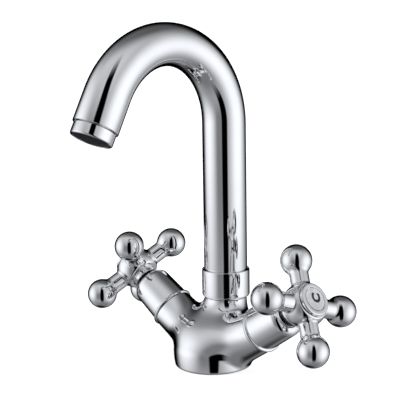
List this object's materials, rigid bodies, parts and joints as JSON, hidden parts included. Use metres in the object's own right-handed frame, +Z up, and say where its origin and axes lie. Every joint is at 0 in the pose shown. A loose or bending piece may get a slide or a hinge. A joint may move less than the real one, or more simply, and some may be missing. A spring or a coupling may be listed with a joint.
{
  "type": "bathroom mixer faucet",
  "caption": "Chrome two-handle basin mixer: domed base, raised side arms with cross handles tipped with balls, and a tall gooseneck spout that swivels.",
  "frame": {"origin": "centre of the underside of the base, on the basin's surface", "axes": "+Z up out of the basin, -Y forwards along the spout towards the user, +X towards the cold handle, -X towards the hot handle"},
  "size_m": [0.1752, 0.1341, 0.1983],
  "materials": {
    "chrome": "mirror polished",
    "satin_chrome": "satin",
    "brass": "machined",
    "steel": "machined",
    "rubber": "matt",
    "fibre": "pressed fibre",
    "ceramic": "lapped ceramic",
    "grey_plastic": "moulded"
  },
  "bodies": {
    "root": {"body_casting": "chrome", "base_seal": "rubber", "swivel_washer": "grey_plastic", "spout_grub_screw": "steel", "hot_headwork_body": "brass", "hot_headwork_washer": "fibre", "hot_seat_seal": "rubber", "hot_fixed_disc": "ceramic", "hot_sleeve": "chrome", "cold_headwork_body": "brass", "cold_headwork_washer": "fibre", "cold_seat_seal": "rubber", "cold_fixed_disc": "ceramic", "cold_sleeve": "chrome"},
    "spout": {"spout_tube": "chrome", "spout_collar": "chrome", "spigot_o_ring_upper": "rubber", "spigot_o_ring_lower": "rubber", "aerator_housing": "chrome", "aerator_screen": "grey_plastic", "aerator_cartridge": "grey_plastic", "aerator_washer": "rubber"},
    "hot_handle": {"hot_moving_disc": "ceramic", "hot_spindle": "brass", "hot_spindle_o_ring": "rubber", "hot_cross_handle": "chrome", "hot_handle_screw": "steel", "hot_index_cap": "chrome", "hot_index_disc": "satin_chrome"},
    "cold_handle": {"cold_moving_disc": "ceramic", "cold_spindle": "brass", "cold_spindle_o_ring": "rubber", "cold_cross_handle": "chrome", "cold_handle_screw": "steel", "cold_index_cap": "chrome", "cold_index_disc": "satin_chrome"}
  },
  "joints": [
    {"name": "spout_swivel", "type": "hinge", "parent": "root", "child": "spout", "pos_m": [0, 0.0116, 0], "axis": [0, 0, 1], "continuous": true},
    {"name": "cold_turn", "type": "hinge", "parent": "root", "child": "cold_handle", "pos_m": [0, 0.0026, 0.0042], "axis": [0.8434, 0, 0.5373], "range_deg": [0, 90]},
    {"name": "hot_turn", "type": "hinge", "parent": "root", "child": "hot_handle", "pos_m": [0, 0.0026, 0.0042], "axis": [-0.8434, 0, 0.5373], "range_deg": [0, 90]}
  ]
}
